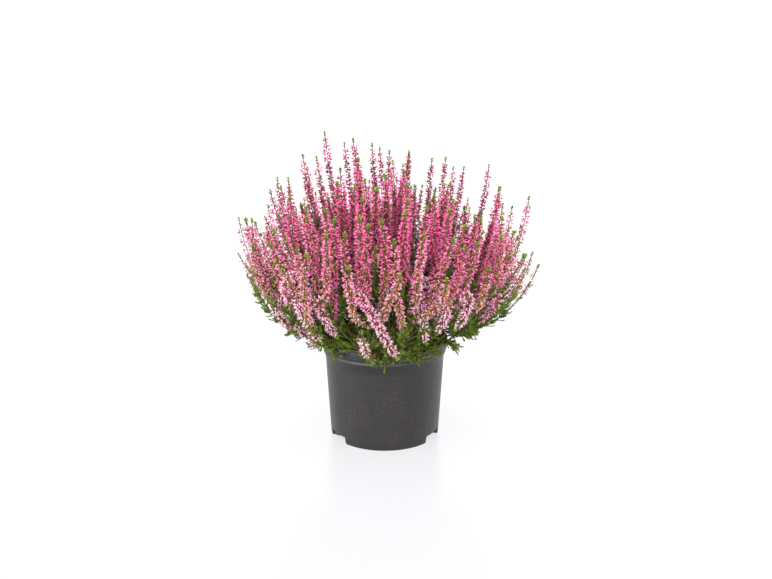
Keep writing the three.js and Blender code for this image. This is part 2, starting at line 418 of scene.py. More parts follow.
def foliageMaterial():
    shader = newShader("foliage")
    tint = shader.mark("tint")
    patch = shader.noise(9, 2)
    green = shader.ramp(tint * 0.7 + patch * 0.3, [
        (0.1, 52, 70, 20), (0.4, 86, 114, 38), (0.75, 112, 140, 50), (1.0, 134, 156, 60),
    ])
    lime = shader.ramp(tint, [(0.0, 60, 84, 4), (1.0, 116, 140, 12)])
    brown = shader.ramp(tint, [(0.0, 88, 48, 20), (1.0, 176, 104, 40)])
    bark = shader.ramp(tint, [(0.0, 52, 32, 20), (0.5, 72, 50, 28), (1.0, 148, 114, 70)])
    shaded = shader.ramp(tint, [(0.0, 30, 26, 10), (1.0, 60, 56, 20)])
    colour = shader.mix(shader.mark("young"), green, lime)
    colour = shader.mix(shader.mark("dry"), colour, brown)
    colour = shader.mix(shader.mark("wood"), colour, bark)
    # Painted shade: leaves and stems deep inside the plant's outline are mixed toward the shaded ramp, which
    # also stands for older growth there
    colour = shader.mix(shader.mark("deep") * 0.7, colour, shaded)
    return shader.finish(colour, 0.55, {"Specular IOR Level": 0.3})


def barkMaterial():
    shader = newShader("bark")
    ridge = shader.noise(1.2, 6)
    colour = shader.ramp(ridge, [(0.3, 52, 36, 24), (0.55, 96, 70, 48), (0.75, 132, 106, 78)])
    bump = shader.bump(ridge, 0.5, 0.4)
    return shader.finish(colour, 0.75 + 0.2 * ridge, {"Normal": bump})


def peatMaterial():
    shader = newShader("peat")
    crumb = shader.noise(1.4, 8)
    damp = shader.noise(16, 2)
    dry = shader.ramp(crumb, [(0.3, 30, 20, 13), (0.52, 64, 44, 28), (0.72, 110, 80, 52)])
    wet = shader.ramp(crumb, [(0.3, 18, 12, 8), (0.7, 56, 38, 24)])
    colour = shader.mix(damp, dry, wet)
    bump = shader.bump(crumb, 0.7, 0.8)
    return shader.finish(colour, 0.8 + 0.15 * crumb, {"Normal": bump})


def plasticMaterial():
    shader = newShader("pot_plastic")
    mottle = shader.noise(18, 4)
    fine = shader.noise(0.9, 3)
    dusty = shader.remap(shader.noise(30, 2), 0.35, 0.65)
    specks = shader.remap(shader.noise(1.1, 2), 0.6, 0.68)
    grey = shader.ramp(mottle, [(0.3, 10, 7, 7), (0.7, 16, 13, 13)])
    colour = shader.mix(specks * (0.1 + 0.24 * dusty), grey, rgb(112, 86, 78))
    bump = shader.bump(fine * 0.6 + mottle * 0.4, 0.22, 0.25)
    return shader.finish(colour, 0.34 + 0.14 * mottle, {"Normal": bump})


def floorMaterial():
    shader = newShader("studio_floor")
    sheen = shader.noise(300, 2)
    return shader.finish(studio["floorColour"] + (1,), 0.19 + 0.08 * sheen, {
        "Specular IOR Level": 0.2,
        "Emission Color": studio["floorGlow"] + (1,),
        "Emission Strength": 1.0,
    })


# Pot

potLook = {
    "rimRadius": 60.0,
    "wall": 1.2,
    "baseRadius": 52.4,
    "shoulderRadius": 57.1,
    "shoulderLow": 79.5,
    "bandLow": 86.5,
    # a bead, a groove and then the band's underside: shares of the way out and up
    "shoulder": ((0.05, 0.05), (0.22, 0.16), (0.4, 0.28), (0.5, 0.38), (0.53, 0.48), (0.47, 0.58),
                 (0.36, 0.68), (0.28, 0.77), (0.31, 0.85), (0.62, 0.93)),
    "stepHeight": 78.0,
    "stepDepth": 0.3,
    "plateHeight": 6.0,
    "plateReach": (1.2, 20, 38),  # rows of points under the base, from the middle
    "footInner": 44.5,
    "footDraft": 0.8,
    "notchBearings": (211.6, 331.6, 91.6),
    "notchHalf": 13.7,
    "notchDraft": 2.2,
    "drainRadius": 4.0,
    "drainReach": 46.8,
    "wallLow": 9,  # where the straight wall starts
    "edge": 1.0,  # rounding of the foot's outer edge
    "lip": 0.75,  # and of the rim's
    # a thin moulding is never quite round: waves around it, where each starts, and its share of the radius
    "waves": ((2, 0.6, 0.0011), (5, 0, 0.0006)),
    "waveHeight": 94,  # where they are in full; they start at the floor
    "drainDepth": (3.5, 10.5),
    "drainSides": 24,
    "coarseTurn": 3.0,  # degrees between columns away from the notches
    "fineTurn": 0.35,  # degrees between columns at a notch's sides
}


# How far a notch lifts the foot at each bearing, 0 between the notches and 1 inside one.
def notchLift(bearings, margin):
    reach = potLook["baseRadius"]
    lift = np.zeros_like(bearings)
    for centre in potLook["notchBearings"]:
        off = (bearings - centre + 180) % 360 - 180
        sideways = np.radians(np.abs(off)) * reach
        t = np.clip((potLook["notchHalf"] + margin - sideways) / potLook["notchDraft"], 0, 1)
        lift = np.maximum(lift, t * t * (3 - 2 * t))
    return lift


def potBearings():
    bearings = list(np.arange(0, 360, potLook["coarseTurn"]))
    halfTurn = math.degrees((potLook["notchHalf"] - potLook["notchDraft"] / 2) / potLook["baseRadius"])
    for centre in potLook["notchBearings"]:
        for side in (-1, 1):
            middle = centre + side * halfTurn
            bearings += list(np.arange(middle - 2.1, middle + 2.2, potLook["fineTurn"]))
    bearings = np.sort(np.array(bearings) % 360)
    return bearings[np.diff(bearings, prepend=-1) > 0.12]


def arc(centreRadius, centreHeight, size, fromDegrees, toDegrees, count):
    turns = np.radians(np.linspace(fromDegrees, toDegrees, count))
    return [(centreRadius + size * math.cos(a), centreHeight + size * math.sin(a)) for a in turns]


# A row of the pot is a radius, a height, and how much of the outer and of the inner notch lift it takes.
def plainRows(points):  # those that take none
    return [(radius, height, 0, 0) for radius, height in points]


def outerRadius(z):
    top = potLook["shoulderRadius"] - potLook["stepDepth"]
    return potLook["baseRadius"] + (top - potLook["baseRadius"]) * z / potLook["stepHeight"]


# From the middle of the underside, up the outside and over the rim.
def potOutsideRows(height):
    p = potLook
    foot, plate, draft = p["footInner"], p["plateHeight"], p["footDraft"]
    edge, lip, rim = p["edge"], p["lip"], p["rimRadius"]
    under = [(reach, plate) for reach in p["plateReach"] + (foot,)]
    feet = [
        (foot + 0.1 * draft, 0.92 * plate, 0.08, 0), (foot + 0.9 * draft, 0.07 * plate, 0.93, 0),
        (foot + draft + 0.4, 0, 1, 0),
    ]
    feet += [(r, z, 1, 0) for r, z in arc(p["baseRadius"] - edge, edge, edge, -90, 0, 5)]
    step, stepRadius = p["stepDepth"], outerRadius(p["stepHeight"])
    wall = [(outerRadius(z), z) for z in np.linspace(p["wallLow"], p["stepHeight"] - step, 14)]
    wall += [
        (stepRadius + 0.1, p["stepHeight"] - 0.1), (stepRadius + step, p["stepHeight"] + 0.15),
        (p["shoulderRadius"], p["shoulderLow"] - 0.3),
    ]
    wall += [
        (lerp(p["shoulderRadius"], rim, share), lerp(p["shoulderLow"], p["bandLow"], rise))
        for share, rise in p["shoulder"]
    ]
    band = [(rim - 0.12, p["bandLow"] + 0.15), (rim, p["bandLow"] + 0.6), (rim - 0.1, p["bandLow"] + 4)]
    return plainRows(under) + feet + plainRows(wall + band + arc(rim - lip, height - lip, lip, 0, 90, 5))


# The pot's inside, or with an inset the outside of what fills it, from the top row down to the middle.
def potInsideRows(inset):
    p = potLook
    skin = p["wall"] + inset
    foot, plate = p["footInner"], p["plateHeight"]
    wall = [(p["shoulderRadius"] - skin, p["shoulderLow"] + 1)]
    wall += [(outerRadius(z) - skin, z) for z in np.linspace(p["stepHeight"] - 4, p["wallLow"] + 2, 8)]
    feet = [
        (p["baseRadius"] - skin, skin + 0.6, 0, 1), (p["baseRadius"] - skin - 0.6, skin, 0, 1),
        (foot + p["footDraft"] + skin + 0.4, skin, 0, 1), (foot + skin, 0.95 * plate + skin, 0, 0.05),
    ]
    bottom = [(reach, plate + skin) for reach in (foot + skin - 0.5,) + p["plateReach"][::-1]]
    return plainRows(wall) + feet + plainRows(bottom)


# Points on every row at every bearing, with the notches lifted.
def turnedPoints(rows, bearings):
    rows = np.array(rows)
    outer = notchLift(bearings, 0) * potLook["plateHeight"]
    inner = notchLift(bearings, potLook["wall"]) * potLook["plateHeight"]
    turn = np.radians(bearings)
    radius = rows[:, 0:1] * np.ones_like(turn)
    height = rows[:, 1:2] + rows[:, 2:3] * outer + rows[:, 3:4] * inner
    wave = sum(share * np.sin(number * turn + start) for number, start, share in potLook["waves"])
    radius = radius * (1 + wave * height / potLook["waveHeight"])
    return np.stack([radius * np.cos(turn), radius * np.sin(turn), height], axis=-1)


# A closed body from rings of points that start and end near the axis.
def turnedBody(pile, points):
    rings, columns = points.shape[:2]
    count = rings * columns
    middles = [[0, 0, ring[:, 2].mean()] for ring in (points[0], points[-1])]
    here = np.arange(columns)
    after = (here + 1) % columns
    last = count - columns
    caps = [
        np.stack([after, here, np.full(columns, count)], axis=1),
        np.stack([last + here, last + after, np.full(columns, count + 1)], axis=1),
    ]
    start = pile.count
    pile.add(np.concatenate([points.reshape(-1, 3), middles]), ringFaces(rings, columns), {})
    pile.faces.append(np.concatenate(caps) + start)


def cutDrainHoles(pot):
    cutter = bpy.data.meshes.new("drain_cutter")
    points, faces = [], []
    columns = potLook["drainSides"]
    for bearing in potLook["notchBearings"]:
        centre = polar(bearing, potLook["drainReach"], 0)
        start = len(points)
        for z in potLook["drainDepth"]:
            ring = [polar(360 * k / columns, potLook["drainRadius"], z) for k in range(columns)]
            points += [(centre + point) * mm for point in ring]
        ends = np.arange(columns)
        faces += [list(start + ends[::-1]), list(start + columns + ends)]
        faces += [list(face) for face in start + ringFaces(2, columns)]
    cutter.from_pydata([list(point) for point in points], [], faces)
    tool = newObject("drain_cutter", cutter)
    modifier = pot.modifiers.new("drain", "BOOLEAN")
    modifier.operation = "DIFFERENCE"
    modifier.solver = "EXACT"
    modifier.object = tool
    depsgraph = bpy.context.evaluated_depsgraph_get()
    cut = bpy.data.meshes.new_from_object(pot.evaluated_get(depsgraph))
    pot.modifiers.clear()
    pot.data = cut
    bpy.data.objects.remove(tool)


def makePot():
    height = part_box("pot")[1].z / mm
    p = potLook
    radius = p["rimRadius"] - p["wall"]
    mouth = arc(radius + 0.3, height - 0.3, 0.3, 90, 180, 3)
    mouth += [(radius, height - 4), (radius, p["bandLow"] + 1), (radius - 0.8, p["bandLow"] - 1)]
    rows = potOutsideRows(height) + plainRows(mouth) + potInsideRows(0)
    pile = Pile([])
    turnedBody(pile, turnedPoints(rows, potBearings()))
    pot = pile.make("nursery_pot", plasticMaterial(), "pot")
    cutDrainHoles(pot)
    pot.data.set_sharp_from_angle(angle=math.radians(40))
    print("pot", pile.triangles())


# Compost

compostLook = {
    "fillHeight": 85.5,
    "crown": 2.0,
    "rings": 26,
    "roughness": 0.9,  # height of the crumbly surface's lumps
    "crumbs": 320,
    "crumbSize": (0.8, 3.0),
    "fibres": 60,
    "fibreLength": (5, 12),
    "fibreRadius": 0.16,
    "gap": 0.3,  # to the pot's wall
    "turnStep": 4,
    # crumbs and roots that work their way out of the drain hole at the front left, between two bearings and
    # heights
    "notchEnds": ((197, 3.0), (209, 4.4)),
    "notchInset": 3.2,
    "notchCrumbs": 60,
    "notchCrumbSize": (1.0, 2.4),
    "notchFibres": 20,
    "notchFibreLength": (2, 4),
    "notchStray": (0.8, 0.8, 0.7),
    "notchHeights": (2.2, 7),
    "seed": 5,
}


def crumbShape():  # a small stone-like lump
    golden = (1 + math.sqrt(5)) / 2
    corners = []
    for a in (-1, 1):
        for b in (-golden, golden):
            corners += [(0, a, b), (a, b, 0), (b, 0, a)]
    points = unit(np.array(corners, float)) * 0.5
    side = 0.53  # a little over its edges' length
    faces = []
    for i, j, k in itertools.combinations(range(len(points)), 3):
        a, b, c = points[[i, j, k]]
        if max(np.linalg.norm(a - b), np.linalg.norm(b - c), np.linalg.norm(a - c)) < side:
            faces.append((i, j, k) if np.cross(b - a, c - a) @ a > 0 else (i, k, j))
    return points, np.array(faces), np.zeros(len(points))


def addCrumbs(pile, dice, places, sizes):
    shape = crumbShape()
    count = len(places)
    axis = unit(dice.normal(size=(count, 3)))
    side = unit(np.cross(axis, unit(dice.normal(size=(count, 3)))))
    scatter(pile, shape, places, axis, side, sizes * dice.uniform(0.6, 1.3, count), sizes, {})


def addFibres(pile, dice, places, length):
    count = len(places)
    flat = dice.normal(size=(count, 3)) * [1, 1, 0.35]
    reach = unit(flat) * length[:, None]
    bend = places + 0.5 * reach + dice.normal(size=(count, 3)) * 0.15 * length[:, None]
    end = places + reach
    centres = curves(places, bend, end, np.linspace(0, 1, 6))
    tubes(pile, centres, np.full((count, 6), compostLook["fibreRadius"]), acrossOf(places, bend, end), 3, {})


def makeCompost():
    look = compostLook
    dice = np.random.default_rng(look["seed"])
    p = potLook
    rise = (look["fillHeight"] - p["shoulderLow"] - 1) / (p["bandLow"] - p["shoulderLow"])
    edge = lerp(p["shoulderRadius"], p["rimRadius"], rise) - p["wall"] - look["gap"]
    shares = np.linspace(1, 0.02, look["rings"])
    top = plainRows(
        (edge * share, look["fillHeight"] + look["crown"] * (1 - share ** 2)) for share in shares
    )
    points = turnedPoints(potInsideRows(look["gap"])[::-1] + top, np.arange(0, 360, look["turnStep"]))
    surface = points[-look["rings"]:]
    lumps = dice.normal(size=surface.shape[:2])
    lumps = (lumps + np.roll(lumps, 1, axis=1) + np.roll(lumps, -1, axis=1)) / 2
    fade = np.ones(look["rings"])
    fade[0] = 0  # the edge stays on the wall
    surface[:, :, 2] += look["roughness"] * 0.6 * lumps * fade[:, None]
    pile = Pile([])
    turnedBody(pile, points)
    count = look["crumbs"]
    reach = (edge - 1.5) * np.sqrt(dice.uniform(0.005, 1, count))
    turn = dice.uniform(0, 2 * np.pi, count)
    ground = look["fillHeight"] + look["crown"] * (1 - (reach / edge) ** 2)
    places = np.stack([reach * np.cos(turn), reach * np.sin(turn), ground + 0.2], axis=1)
    addCrumbs(pile, dice, places, dice.uniform(*look["crumbSize"], count))
    fibrePlaces = places[: look["fibres"]] + [0, 0, 0.7]
    fibrePlaces[:, :2] *= 0.85
    addFibres(pile, dice, fibrePlaces, dice.uniform(*look["fibreLength"], look["fibres"]))
    reach = p["baseRadius"] - look["notchInset"]
    ends = [polar(bearing, reach, height) for bearing, height in look["notchEnds"]]
    count = look["notchCrumbs"]
    spread = lerp(*ends, dice.uniform(0, 1, (count, 1)))
    spread = spread + dice.normal(size=(count, 3)) * look["notchStray"]
    spread[:, 2] = np.clip(spread[:, 2], *look["notchHeights"])
    addCrumbs(pile, dice, spread, dice.uniform(*look["notchCrumbSize"], count))
    count = look["notchFibres"]
    addFibres(pile, dice, spread[:count], dice.uniform(*look["notchFibreLength"], count))
    pile.make("peat_ball", peatMaterial(), "compost", smooth=False)
    print("compost", pile.triangles())


# Woody base

woodLook = {
    "trunkRadius": 4.6,
    "trunkFoot": 69.5,
    "trunkTop": 93.0,
    "taper": 0.28,
    "limbs": 9,
    "limbRadius": 2.4,
    "limbReach": 11.0,
    "limbTop": 97.0,
    "twigRadius": 1.4,
    "stemRadius": 1.1,
}


def makeWoodyBase(lines):
    look = woodLook
    pile = Pile([])
    t = np.linspace(0, 1, 12)
    trunk = lerp(np.array([0, 0, look["trunkFoot"]]), np.array([0.5, 0, look["trunkTop"] + 1.5]), t[:, None])
    swell = 1 - look["taper"] * t + 0.07 * np.sin(17 * t) + 0.05 * np.sin(41 * t)
    tubes(pile, trunk[None], look["trunkRadius"] * swell[None], np.array([[0, 1.0, 0]]), 14, {})
    bearings = [360 * i / look["limbs"] for i in range(look["limbs"])]
    forks = np.array([polar(bearing, look["limbReach"], look["limbTop"]) for bearing in bearings])
    start = np.tile([0, 0, look["trunkTop"] - look["limbRadius"]], (len(forks), 1))
    elbow = forks * [0.7, 0.7, 0] + [0, 0, look["trunkTop"]]
    t = np.linspace(0, 1, 8)
    radii = np.tile(look["limbRadius"] * (1 - 0.2 * t + 0.08 * np.sin(23 * t)), (len(forks), 1))
    tubes(pile, curves(start, elbow, forks, t), radii, acrossOf(start, elbow, forks), 8, {})
    roots = np.array([line[0] for line in lines])
    back = unit(roots - np.array([line[1] for line in lines]))
    nearest = np.argmin(np.linalg.norm(roots[:, None] - forks[None], axis=2), axis=1)
    start = forks[nearest] - [0, 0, 1]
    elbow = roots + 4 * back
    radii = np.tile(lerp(look["twigRadius"], look["stemRadius"], t), (len(roots), 1))
    tubes(pile, curves(start, elbow, roots, t), radii, acrossOf(start, elbow, roots), 6, {})
    pile.make("branch_base", barkMaterial(), "woody_base")
    print("woody base", pile.triangles())


# Spikes

spikeLook = {
    # leaves of the growing tip: distance below it, degrees they stand out, length
    "tuft": ([0.1, 0.6, 1.1, 1.7, 2.4, 3.1], [14, 38, 58, 72, 80, 62], [1.5, 2.1, 2.5, 2.8, 2.6, 2.0]),
    "tuftLeaves": {"width": 1.7, "radius": 0.1},
    "stem": ([0, 0.4, 0.7, 1], [0.9, 0.62, 0.5, 0.38]),  # its radius, by share of the length
    "neckLeaves": {"spread": 30, "length": 1.6, "width": 1.0, "radius": 0.2},
    "stemLeaves": {"spread": 44, "length": 2.3, "width": 1.0, "radius": 0.5},
    "neck": 6.5,  # below the tip, before the first flowers
    "neckFrom": 3.8,  # the neck's leaves start here below the tip
    "neckPast": 9,  # and go on among the first flowers
    "leafGap": 0.9,
    "pairGap": ([0, 30, 60], [1.95, 1.4, 1.15]),  # between flower pairs, by distance from the tip
    "cluster": 3,  # buds at each place
    "clusterSpread": 0.7,  # how far they stand from it along the stem
    "twist": 0.12,  # extra turn from each pair to the next
    "budLength": ([0, 14, 40], [2.8, 3.7, 3.8]),
    "stalk": ([0, 14, 40], [0.4, 1.1, 1.2]),  # from the stem to the bud
    "budWidth": 0.37,  # of its length
    "lift": ([0, 20, 60], [34, 10, -18]),  # degrees a bud points up, by distance from the tip
    "hangingLift": ([0, 20, 60], [40, 12, -8]),  # the same for a hanging spike, from its own axis
    "hangingSize": 1.1,
    "hangingDepth": 0.2,  # how much of the plant's darkness reaches its buds
    "missing": 0.05,
    "missingDeep": 0.65,  # deep inside the plant
    "shadedBelow": 0.25,  # depth from which buds are the plain ones
    "missingLow": ([125, 170, 215], [0.43, 0.18, 0]),  # by the flowers' height
    "sparse": ([140, 185, 212, 240], [0.24, 0.18, 0.14, 0]),  # more are missing on a spike with a low tip
    "sparseLeft": ([-125, -80], [0.09, 0]),  # and on the left, by its tip's place
    "turnSpread": 0.6,  # radians a bud strays round the stem
    "liftSpread": 18,
    "paleSpread": 0.13,
    "sizes": (0.82, 1.15),
    "stalks": (0.5, 1.5),
    "bractShare": 0.4,
    "bractLength": 2.4,
    "bractWidth": 0.9,
    "bractDrop": 20,  # degrees below the buds
    "bractSpread": 14,
    "longest": 112,  # of the flowering part
    "mixed": 34,  # how far sprigs reach up among the flowers
    "mixedSprigs": 3,
    "mixedReach": 90,  # on spikes whose tips reach further out than this
    "mixedScale": 0.7,
    "lowest": ([0, 45, 80, 110, 130], [178, 172, 158, 144, 126]),  # height of the lowest flowers, by reach
    "uneven": 24,  # how far that height varies from spike to spike
    "lower": ([150, 200], [-35, 0]),  # how much further down a spike with a low tip flowers
    "paleBy": ([105, 135, 180, 215], [0.6, 0.32, 0.08, 0.0]),  # how faded the flowers are, by height
    "paleByTip": ([115, 150, 195, 215], [0.5, 0.4, 0.24, 0.02]),  # a spike's own share, by its tip's height
    "hangingPale": 0.55,
    "hangingBare": 0.15,  # how much of a hanging spike stays bare at least
    "seed": 40,
}
# The plant's outline, by height and by reach
dome = {
    "height": [95, 112, 130, 156, 208, 230, 250, 265, 280, 285],
    "reach": [85, 103, 115, 126, 137, 130, 108, 90, 60, 50],
    "skin": 14,  # light reaches this deep in full
    "flowerSkin": 42,  # and flowers grow this deep in full
    "fade": 45,  # from the skin to the full depth
}
pairSpread = {"turn": 0.2, "angle": 7, "sizes": (0.8, 1.15)}  # how much leaves of a stem differ


# Depth inside the plant's outline; the petal and foliage materials turn it into painted shade
def depthInside(points, skin=dome["skin"]):  # 0 within the outline's skin, 1 deep inside
    reach = np.hypot(points[:, 0], points[:, 1])
    above = np.interp(reach, dome["reach"][:3:-1], dome["height"][:3:-1]) - points[:, 2]
    beside = np.interp(points[:, 2], dome["height"], dome["reach"]) - reach
    return np.clip((np.minimum(above, beside) - skin) / dome["fade"], 0, 1)


# Places for opposite pairs, each turned a quarter from the last. A cluster is several at each place.
def pairsAlong(path, distances, dice, jitter, twist=0.0, cluster=1):
    count = len(distances)
    turn = (np.pi / 2 + twist) * np.arange(count) + dice.uniform(0, np.pi)
    turn = np.tile(np.concatenate([turn, turn + np.pi]), cluster)
    turn = turn + dice.normal(size=len(turn)) * jitter
    distance = np.tile(distances, 2 * cluster)
    if cluster > 1:
        distance = distance + dice.uniform(-1, 1, len(distance)) * spikeLook["clusterSpread"]
    place = path.at(distance)
    heading = path.heading(distance)
    return place, heading, around(heading, path.across, turn)


# Scale leaves in pairs on a stem: their angle from it in degrees, their size and the stem's radius.
def leafPairs(pile, path, distances, dice, leaves, marks, shape=thinLeaf):
    place, heading, outward = pairsAlong(path, distances, dice, pairSpread["turn"])
    count = len(place)
    angle = np.radians(leaves["spread"] + dice.normal(size=count) * pairSpread["angle"])[:, None]
    axis = unit(np.cos(angle) * heading + np.sin(angle) * outward)
    side = unit(np.cross(heading, axis))
    size = dice.uniform(*pairSpread["sizes"], count)
    foot = place + leaves["radius"] * outward
    scatter(pile, shape, foot, axis, side, leaves["length"] * size, leaves["width"] * size, {
        "tint": dice.uniform(0, 1, count), "deep": depthInside(place), **marks,
    })


def pointing(outward, upward, lifts):  # outward, turned up by some degrees
    lifts = np.radians(lifts)[:, None]
    return unit(np.cos(lifts) * outward + np.sin(lifts) * upward)


# A hanging spike's flowers start a given length above its tip; another's start where there is light for them.
def dressSpike(flowers, greens, path, pale, dice, hanging=0):
    look = spikeLook
    length = path.length
    # stem
    share = np.linspace(0, 1, 10)
    centres = path.at(share * length)
    tubes(greens, centres[None], np.interp(share, *look["stem"])[None], path.across[None], 3, {
        "wood": lerp(0.9, 0.5, share), "tint": lerp(0.05, 0.35, share), "deep": depthInside(centres),
    })
    # growing tip
    depth, spread, size = np.array(look["tuft"])
    tuft = {"spread": np.tile(spread, 2), "length": np.tile(size, 2), **look["tuftLeaves"]}
    leafPairs(greens, path, length - depth, dice, tuft, {"young": 1.0}, leaf)
    neck = length - np.arange(look["neckFrom"], look["neck"] + look["neckPast"], look["leafGap"])
    leafPairs(greens, path, neck, dice, look["neckLeaves"], {"young": 0.12, "tint": 0.25})
    # flowers, from the tip down to where the plant gets too dark for them
    reach = np.hypot(path.points[:, 0], path.points[:, 1])
    lowest = np.interp(reach, *look["lowest"]) + np.interp(path.points[-1][2], *look["lower"])
    lit = path.points[:, 2] > lowest + dice.normal() * look["uneven"]
    bare = max(path.marks[np.argmax(lit)], length - look["longest"])
    if hanging:
        bare = max(look["hangingBare"] * length, length - hanging)
    below = []
    distance = look["neck"]
    while distance < length - bare:
        below.append(distance)
        distance += np.interp(distance, *look["pairGap"]) * dice.uniform(0.85, 1.15)
    below = np.array(below)
    cluster = look["cluster"]
    place, heading, outward = pairsAlong(
        path, length - below, dice, look["turnSpread"], look["twist"], cluster,
    )
    shade = dice.beta(0.9, 1.5, 2 * cluster * len(below))
    below = np.tile(below, 2 * cluster)
    rise = np.clip(heading[:, 2:3], 0, 1)
    upward = heading if hanging else unit(rise * heading + np.array([0, 0, 1]))
    lifts = np.interp(below, *look["hangingLift" if hanging else "lift"])
    # depth inside the plant: painted shade on the buds and bracts, and which buds are the plain ones
    deep = depthInside(place)
    hidden = depthInside(place, dome["flowerSkin"])
    tip = path.points[-1]
    sparse = 0 if hanging else np.interp(tip[2], *look["sparse"]) + np.interp(tip[0], *look["sparseLeft"])
    fewer = sparse if hanging else sparse + np.interp(place[:, 2], *look["missingLow"])
    kept = dice.uniform(size=len(below)) > look["missing"] + fewer + look["missingDeep"] * hidden
    count = kept.sum()
    lift = lifts[kept] + dice.normal(size=count) * look["liftSpread"]
    axis = pointing(outward[kept], upward[kept], lift)
    side = unit(np.cross(axis, heading[kept]))
    size = np.interp(below[kept], *look["budLength"]) * dice.uniform(*look["sizes"], count)
    budDeep = deep[kept]
    if hanging:
        size = size * look["hangingSize"]
        budDeep = look["hangingDepth"] * budDeep
    fade = np.interp(place[kept, 2], *look["paleBy"]) * (1 - budDeep)
    paleness = np.clip(pale + fade + dice.normal(size=count) * look["paleSpread"], 0, 1)
    stalk = np.interp(below[kept], *look["stalk"]) * dice.uniform(*look["stalks"], count)
    foot = place[kept] + stalk[:, None] * outward[kept]
    age = shade[kept] * (1 - 0.7 * paleness)
    dark = budDeep >= look["shadedBelow"]
    for shape, part in ((bud, ~dark), (plainBud, dark)):
        width = size[part] * look["budWidth"]
        scatter(flowers, shape, foot[part], axis[part], side[part], size[part], width, {
            "pale": paleness[part], "tint": age[part], "deep": budDeep[part],
        })
    # small leaves among the flowers
    some = dice.uniform(size=len(below)) < look["bractShare"] * (1 - 0.6 * hidden) + fewer
    count = some.sum()
    lift = lifts[some] - look["bractDrop"] + dice.normal(size=count) * look["bractSpread"]
    axis = pointing(outward[some], upward[some], lift)
    long = look["bractLength"] * (1 + sparse) * dice.uniform(0.8, 1.4, count)
    side = unit(np.cross(heading[some], axis))
    foot = place[some] + dice.uniform(0.2, 1.4, (count, 1)) * outward[some]
    scatter(greens, thinLeaf, foot, axis, side, long, np.full(count, look["bractWidth"]), {
        "tint": dice.uniform(0.3, 1, count), "young": 0.1 + sparse, "dry": dice.uniform(0.1, 0.85, count),
        "deep": deep[some],
    })
    # leaves and sprigs below the flowers
    if not hanging and reach[-1] > look["mixedReach"]:
        low, high = np.clip([bare - 8, bare + look["mixed"]], 0, [0.7 * length, 0.85 * length])
        growSprigs(greens, path, low, high, look["mixedSprigs"], dice, scale=look["mixedScale"])
    bareLeaves = np.arange(0.3 * bare, bare + 12, 1.0)
    if len(bareLeaves) > 1:
        leafPairs(greens, path, bareLeaves, dice, look["stemLeaves"], {})


greenMarks = ["tint", "young", "dry", "wood", "deep"]


# Sprigs: short scale-leaved side shoots that fill the plant's skirt

sprigLook = {
    "length": (5, 10),
    "pairs": 12,
    "leafLength": 1.6,
    "leafWidth": 1.2,
    "leaving": (40, 85),  # degrees between sprig and stem
    "spread": 48,  # degrees between leaf and sprig
    "turnSpread": 0.2,
    "angleSpread": 8,
    "sizes": (0.85, 1.15),
    "stemRadius": 0.35,
    "rise": 0.8,  # how strongly a sprig turns upward
    "stray": 0.35,
    "shade": (0.4, 0.2),  # its middle and its spread from sprig to sprig
    "leafShade": 0.14,  # and from leaf to leaf
    "dryShare": 0.16,
    "leafyShare": 0.88,  # of a leafy shoot's curve that its own stem fills
    "leafyCount": 26,  # sprigs on it
    "seed": 900,
}


# Sprigs leave a stem between two distances along it and turn upward, or less so the more they droop.
def growSprigs(pile, path, low, high, count, dice, droop=0.0, young=0.0, scale=1.0):
    look = sprigLook
    distance = dice.uniform(low, high, count)
    start = path.at(distance)
    heading = path.heading(distance)
    outward = around(heading, path.across, dice.uniform(0, 2 * np.pi, count))
    angle = np.radians(dice.uniform(*look["leaving"], count))[:, None]
    leaving = unit(np.cos(angle) * heading + np.sin(angle) * outward)
    length = scale * dice.uniform(*look["length"], count)[:, None]
    bend = start + 0.5 * length * leaving
    rise = np.array([0, 0, look["rise"] - droop])
    turnUp = unit(heading + rise + look["stray"] * dice.normal(size=(count, 3)))
    end = bend + 0.5 * length * unit(0.5 * leaving + 0.7 * turnUp)
    across = acrossOf(start, bend, end)
    deep = depthInside(end)
    stem = curves(start, bend, end, np.linspace(0, 1, 3))
    radii = np.tile(np.linspace(look["stemRadius"], 0.6 * look["stemRadius"], 3), (count, 1))
    tubes(pile, stem, radii, across, 3, {"wood": 0.6, "tint": 0.5, "deep": deep[:, None]})
    pairs = look["pairs"]
    t = (np.arange(pairs) + 0.6) / (pairs - 0.2)
    centres = curves(start, bend, end, t)
    tangent = unit(lerp((bend - start)[:, None], (end - bend)[:, None], t[None, :, None]))
    shade = dice.normal(*look["shade"], (count, 1))
    shade = np.clip(shade + dice.normal(size=(count, pairs)) * look["leafShade"], 0, 1)
    dry = (dice.uniform(size=(count, pairs)) < look["dryShare"]) * dice.uniform(0.4, 1, (count, pairs))
    youth = np.clip(young + dice.normal(size=(count, 1)) * 0.1 + 0.3 * t ** 2, 0, 1)
    last = np.interp(t, [0, 0.75, 1], [1, 1, 0.7])  # the end of a sprig closes
    for half in (0, np.pi):
        turn = (np.pi / 2 * np.arange(pairs) + half)[None]
        turn = turn + dice.normal(size=(count, pairs)) * look["turnSpread"]
        outward = around(tangent, across[:, None], turn)
        angle = look["spread"] * last + dice.normal(size=(count, pairs)) * look["angleSpread"]
        angle = np.radians(angle)[..., None]
        axis = unit(np.cos(angle) * tangent + np.sin(angle) * outward)
        width = unit(np.cross(tangent, axis))
        size = (last * dice.uniform(*look["sizes"], (count, pairs))).ravel() * scale ** 0.5
        scatter(pile, thinLeaf, (centres + 0.2 * outward).reshape(-1, 3), axis.reshape(-1, 3),
                width.reshape(-1, 3), look["leafLength"] * size, look["leafWidth"] * size, {
            "tint": shade.ravel(), "dry": dry.ravel(), "young": youth.ravel(), "deep": np.repeat(deep, pairs),
        })


# Side spikes: tips of those at the front and right by bearing, reach and height. The rest are spread over
# the plant's back and middle.

